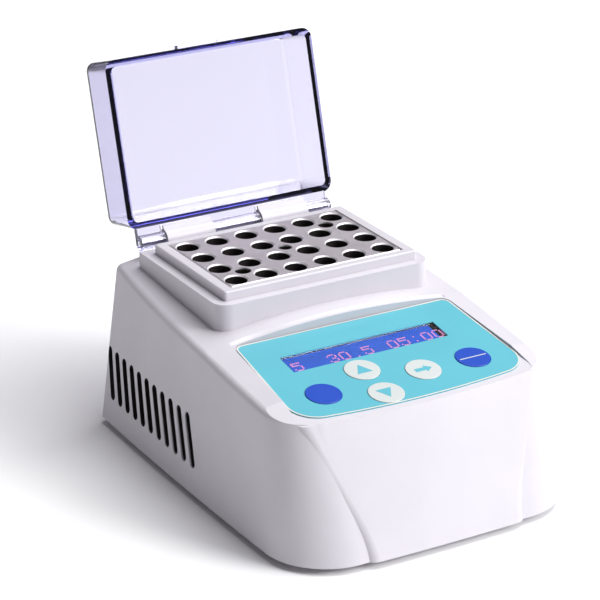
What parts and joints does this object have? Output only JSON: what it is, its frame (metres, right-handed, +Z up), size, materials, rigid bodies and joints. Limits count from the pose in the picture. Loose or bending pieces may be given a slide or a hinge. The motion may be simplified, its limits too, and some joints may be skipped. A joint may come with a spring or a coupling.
{
  "type": "dry block heater",
  "caption": "Compact bench dry bath: hinged clear lid over an aluminium block of tube wells, sloped keypad with display, side vents, rear inlet and switch.",
  "frame": {"origin": "middle of the whole part's box with the lid open, at the table", "axes": "+Z up, -Y towards the front with the keypad, +X to the right seen from the front"},
  "size_m": [0.1158, 0.1855, 0.1329],
  "materials": {
    "housing_white": "satin moulded",
    "base_white": "satin moulded",
    "rubber_black": "matte",
    "screw_steel": "zinc plated",
    "label_silver": "satin, blank",
    "overlay_cyan": "fine matte film",
    "key_blue": "satin",
    "key_white": "satin",
    "lens_clear": "clear",
    "display_blue": "lit display",
    "bezel_black": "matte black",
    "board_green": "solder mask",
    "chip_black": "moulded",
    "block_aluminium": "bead blasted",
    "plate_aluminium": "milled",
    "silicone_orange": "silicone",
    "foam_grey": "closed-cell foam",
    "spacer_white": "moulded",
    "bracket_steel": "satin",
    "post_brass": "turned",
    "socket_black": "satin",
    "rocker_black": "satin",
    "wire_red": "insulated lead",
    "wire_white": "insulated lead",
    "ribbon_grey": "flat cable",
    "lid_clear": "clear tinted, polished"
  },
  "bodies": {
    "housing": {"base_plate": "base_white", "block_frame": "housing_white", "block_screws": "screw_steel", "board_chips": "chip_black", "board_screws": "screw_steel", "bracket_posts": "post_brass", "bracket_screws": "screw_steel", "carrier_bracket": "bracket_steel", "case_screws": "screw_steel", "control_board": "board_green", "display_bezel": "bezel_black", "display_board": "board_green", "display_glass": "display_blue", "display_lens": "lens_clear", "heater_film": "silicone_orange", "heater_leads": "wire_red", "heater_plate": "plate_aluminium", "heating_block": "block_aluminium", "hinge_pin": "bracket_steel", "insulation_jacket": "foam_grey", "insulation_pad": "foam_grey", "key_switches": "chip_black", "panel_overlay": "overlay_cyan", "panel_plug": "spacer_white", "plate_screws": "screw_steel", "plate_spacers": "spacer_white", "power_board": "board_green", "power_board_posts": "spacer_white", "power_board_screws": "screw_steel", "power_components": "chip_black", "power_socket": "socket_black", "rating_plate": "label_silver", "ribbon_cable": "ribbon_grey", "ribbon_plug": "spacer_white", "rubber_feet": "rubber_black", "sensor_lead": "wire_white", "socket_pin": "bracket_steel", "supply_leads": "wire_red", "switch_body": "socket_black", "switch_leads": "wire_red", "temperature_sensor": "bracket_steel", "thermal_cutout": "chip_black", "upper_housing": "housing_white"},
    "lid": {"lid": "lid_clear"},
    "key_down": {"key_down": "key_white"},
    "key_next": {"key_next": "key_white"},
    "key_program": {"key_program": "key_blue"},
    "key_start_stop": {"key_start_stop": "key_blue"},
    "key_up": {"key_up": "key_white"},
    "rocker": {"switch_rocker": "rocker_black"}
  },
  "joints": [
    {"name": "lid_hinge", "type": "hinge", "parent": "housing", "child": "lid", "pos_m": [0, 0.05549, 0.0681], "axis": [1, 0, 0], "range_deg": [0, 105.4]},
    {"name": "press_down", "type": "slide", "parent": "housing", "child": "key_down", "axis": [0, 0.1478, -0.989], "range_m": [0, 0.0004], "stiffness_N_per_m": 400},
    {"name": "press_next", "type": "slide", "parent": "housing", "child": "key_next", "axis": [0, 0.1478, -0.989], "range_m": [0, 0.0004], "stiffness_N_per_m": 400},
    {"name": "press_program", "type": "slide", "parent": "housing", "child": "key_program", "axis": [0, 0.1478, -0.989], "range_m": [0, 0.0004], "stiffness_N_per_m": 400},
    {"name": "press_start_stop", "type": "slide", "parent": "housing", "child": "key_start_stop", "axis": [0, 0.1478, -0.989], "range_m": [0, 0.0004], "stiffness_N_per_m": 400},
    {"name": "press_up", "type": "slide", "parent": "housing", "child": "key_up", "axis": [0, 0.1478, -0.989], "range_m": [0, 0.0004], "stiffness_N_per_m": 400},
    {"name": "rocker_switch", "type": "hinge", "parent": "housing", "child": "rocker", "pos_m": [-0.025, 0.05707, 0.019], "axis": [1, 0, 0], "range_deg": [-14, 0]}
  ]
}
